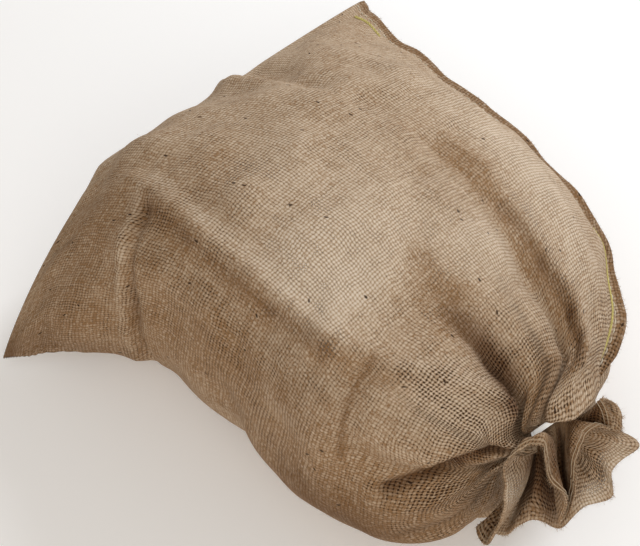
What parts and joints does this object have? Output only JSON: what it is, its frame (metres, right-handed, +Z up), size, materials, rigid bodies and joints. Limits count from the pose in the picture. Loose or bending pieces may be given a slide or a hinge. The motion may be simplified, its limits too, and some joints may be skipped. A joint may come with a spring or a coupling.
{
  "type": "burlap sack",
  "caption": "Filled burlap sack lying on its side, with a sewn bottom edge, a side seam, corners that stand out and a gathered mouth held by a flat tie.",
  "frame": {"origin": "under the middle of the sack's box, on the surface that it rests on", "axes": "+Z up, -Y towards the tied mouth, +Y towards the sewn bottom edge, +X towards the side seam"},
  "size_m": [0.4112, 0.4378, 0.1935],
  "materials": {
    "burlap": "natural jute, plain open weave, rough and matt",
    "white_tie": "smooth white plastic strip"
  },
  "bodies": {
    "root": {"sack": "burlap", "tie": "white_tie"}
  },
  "joints": []
}
